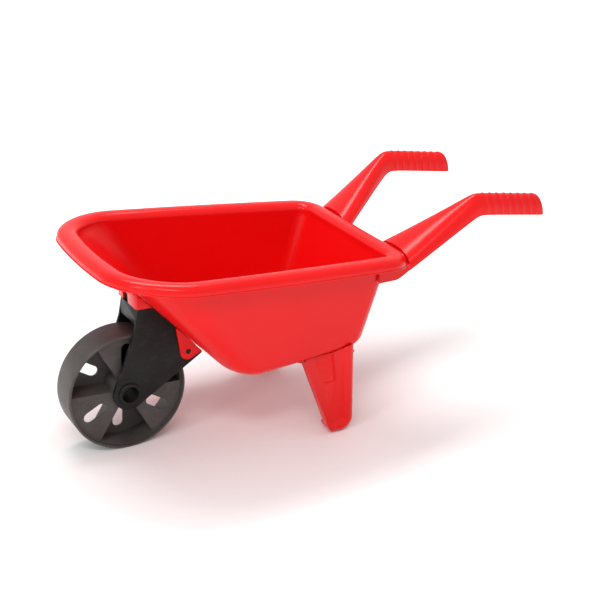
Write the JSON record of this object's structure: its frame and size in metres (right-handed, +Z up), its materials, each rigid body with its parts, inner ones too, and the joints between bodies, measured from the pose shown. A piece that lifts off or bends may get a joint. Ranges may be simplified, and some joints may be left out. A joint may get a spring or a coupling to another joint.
{
  "type": "toy wheelbarrow",
  "caption": "Child's moulded plastic wheelbarrow: open tub on two legs, ribbed shell handles, and a fork with one broad turning wheel.",
  "frame": {"origin": "on the floor, under the middle of the whole length and width", "axes": "+X from the wheel towards the handles, +Y to the left of someone who looks from the wheel towards the handles, +Z up"},
  "size_m": [0.741, 0.3658, 0.3398],
  "materials": {
    "red_plastic": "satin gloss, injection moulded",
    "black_plastic": "fine matt texture",
    "grey_plastic": "matt, moulded",
    "washer_plastic": "plain moulded",
    "screw_steel": "zinc plated"
  },
  "bodies": {
    "frame": {"tray": "red_plastic", "fork_bracket": "red_plastic", "fork": "black_plastic", "axle": "black_plastic", "left_axle_ring": "black_plastic", "right_axle_ring": "black_plastic", "left_wheel_spacer": "washer_plastic", "right_wheel_spacer": "washer_plastic", "left_handle": "red_plastic", "right_handle": "red_plastic", "left_leg": "red_plastic", "right_leg": "red_plastic", "bracket_screws": "screw_steel", "handle_screws": "screw_steel", "leg_screws": "screw_steel"},
    "wheel": {"wheel": "grey_plastic"}
  },
  "joints": [
    {"name": "wheel_spin", "type": "hinge", "parent": "frame", "child": "wheel", "pos_m": [-0.2805, 0, 0.09], "axis": [0, 1, 0], "continuous": true}
  ]
}
